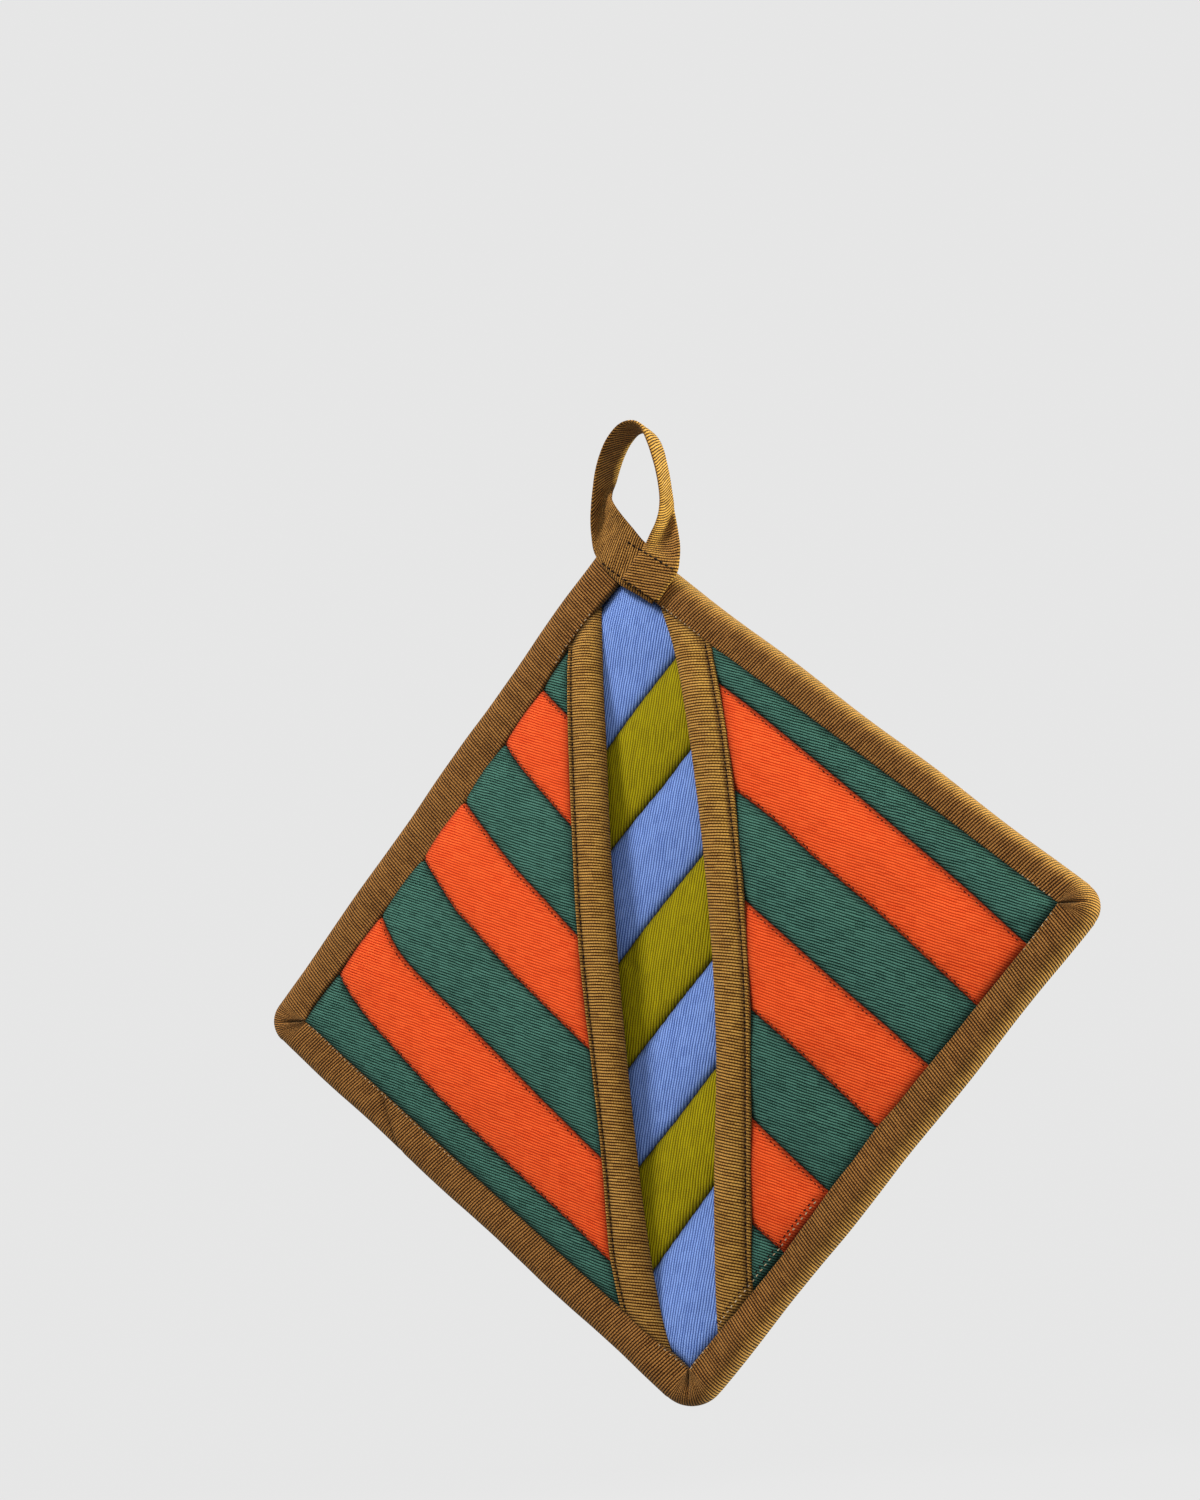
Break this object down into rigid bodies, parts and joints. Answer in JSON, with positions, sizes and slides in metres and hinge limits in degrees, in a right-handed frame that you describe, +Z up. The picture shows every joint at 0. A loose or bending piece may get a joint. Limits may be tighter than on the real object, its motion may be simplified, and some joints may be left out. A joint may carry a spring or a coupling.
{
  "type": "pot holder",
  "caption": "Square quilted pot holder with two facing hand pockets, pieced stripe cloth, bound edges and a hanging loop at one corner.",
  "frame": {"origin": "inside of the top of the hanging loop, where a hook carries it", "axes": "+Z up with the pad hung by its corner, front with the two pockets faces -Y, +X to the right seen from the front"},
  "size_m": [0.2736, 0.0224, 0.3114],
  "materials": {
    "bronze_twill": "matte",
    "orange_twill": "matte",
    "green_twill": "matte",
    "blue_twill": "matte",
    "olive_twill": "matte",
    "backing_cloth": "matte",
    "batting": "matte",
    "heat_wadding": "matte",
    "thread_dark": "matte"
  },
  "bodies": {
    "hanging_loop": {"hanging_loop": "bronze_twill"},
    "right_half": {"back_panel_right": "backing_cloth", "base_batting_right": "batting", "base_quilting_right": "thread_dark", "base_strip_1_blue_right": "blue_twill", "base_strip_2_olive_right": "olive_twill", "base_strip_3_blue_right": "blue_twill", "base_strip_4_olive_right": "olive_twill", "base_strip_5_blue_right": "blue_twill", "base_strip_6_olive_right": "olive_twill", "base_strip_7_blue_right": "blue_twill", "edge_binding_right": "bronze_twill", "edge_stitching_right": "thread_dark", "heat_wadding_right": "heat_wadding", "loop_sewn_end": "bronze_twill", "loop_stitching": "thread_dark"},
    "left_half": {"back_panel_left": "backing_cloth", "base_batting_left": "batting", "base_quilting_left": "thread_dark", "base_strip_1_blue_left": "blue_twill", "base_strip_2_olive_left": "olive_twill", "base_strip_3_blue_left": "blue_twill", "base_strip_4_olive_left": "olive_twill", "base_strip_5_blue_left": "blue_twill", "base_strip_6_olive_left": "olive_twill", "base_strip_7_blue_left": "blue_twill", "edge_binding_left": "bronze_twill", "edge_stitching_left": "thread_dark", "heat_wadding_left": "heat_wadding"},
    "right_pocket": {"right_mouth_binding": "bronze_twill", "right_mouth_stitching": "thread_dark", "right_pocket_batting": "batting", "right_pocket_lining": "backing_cloth", "right_pocket_quilting": "thread_dark", "right_pocket_strip_1_green": "green_twill", "right_pocket_strip_2_orange": "orange_twill", "right_pocket_strip_3_green": "green_twill", "right_pocket_strip_4_orange": "orange_twill", "right_pocket_strip_5_green": "green_twill", "right_pocket_strip_6_orange": "orange_twill", "right_pocket_strip_7_green": "green_twill"},
    "left_pocket": {"left_mouth_binding": "bronze_twill", "left_mouth_stitching": "thread_dark", "left_pocket_batting": "batting", "left_pocket_lining": "backing_cloth", "left_pocket_quilting": "thread_dark", "left_pocket_strip_1_green": "green_twill", "left_pocket_strip_2_orange": "orange_twill", "left_pocket_strip_3_green": "green_twill", "left_pocket_strip_4_orange": "orange_twill", "left_pocket_strip_5_green": "green_twill", "left_pocket_strip_6_orange": "orange_twill", "left_pocket_strip_7_green": "green_twill"}
  },
  "joints": [
    {"name": "loop_swing", "type": "hinge", "parent": "hanging_loop", "child": "right_half", "pos_m": [0, 0, -0.0317], "axis": [1, 0, 0], "range_deg": [-75, 75]},
    {"name": "centre_fold", "type": "hinge", "parent": "right_half", "child": "left_half", "pos_m": [-0.005, 0.00736, -0.1727], "axis": [0, 0, -1], "range_deg": [0, 160], "stiffness_Nm_per_rad": 0.05},
    {"name": "left_pocket_open", "type": "hinge", "parent": "left_half", "child": "left_pocket", "pos_m": [-0.12804, -0.00094, -0.1727], "axis": [0, 0, -1], "range_deg": [0, 16], "stiffness_Nm_per_rad": 0.03},
    {"name": "right_pocket_open", "type": "hinge", "parent": "right_half", "child": "right_pocket", "pos_m": [0.11804, -0.00094, -0.1727], "axis": [0, 0, 1], "range_deg": [0, 16], "stiffness_Nm_per_rad": 0.03}
  ]
}
